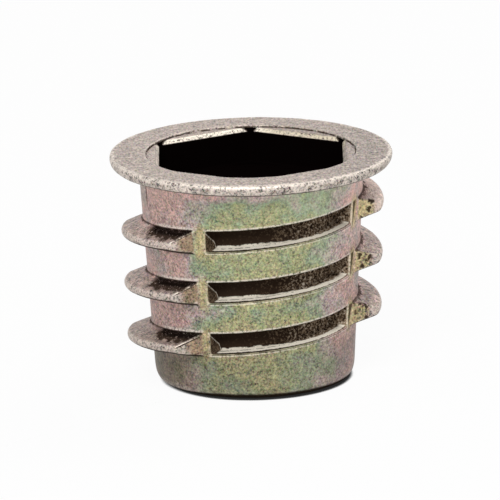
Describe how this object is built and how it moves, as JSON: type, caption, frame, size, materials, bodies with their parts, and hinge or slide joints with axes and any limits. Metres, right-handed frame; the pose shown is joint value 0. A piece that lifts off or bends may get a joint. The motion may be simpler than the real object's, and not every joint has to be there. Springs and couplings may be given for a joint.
{
  "type": "threaded insert",
  "caption": "Flanged screw-in insert with a hexagon socket and a machine-threaded through bore, cast in zinc alloy, with a coarse interrupted wood thread on a tapered body.",
  "frame": {"origin": "centre of the lower end, on the bore's axis, where the insert stands", "axes": "+Z along the bore's axis, up to the flange; a corner of the hexagon socket points along -Y"},
  "size_m": [0.0159, 0.0158, 0.013],
  "materials": {
    "insert": "as-cast zinc alloy with a yellow iridescent chromate, satin and finely grained"
  },
  "bodies": {
    "root": {"insert": "insert"}
  },
  "joints": []
}
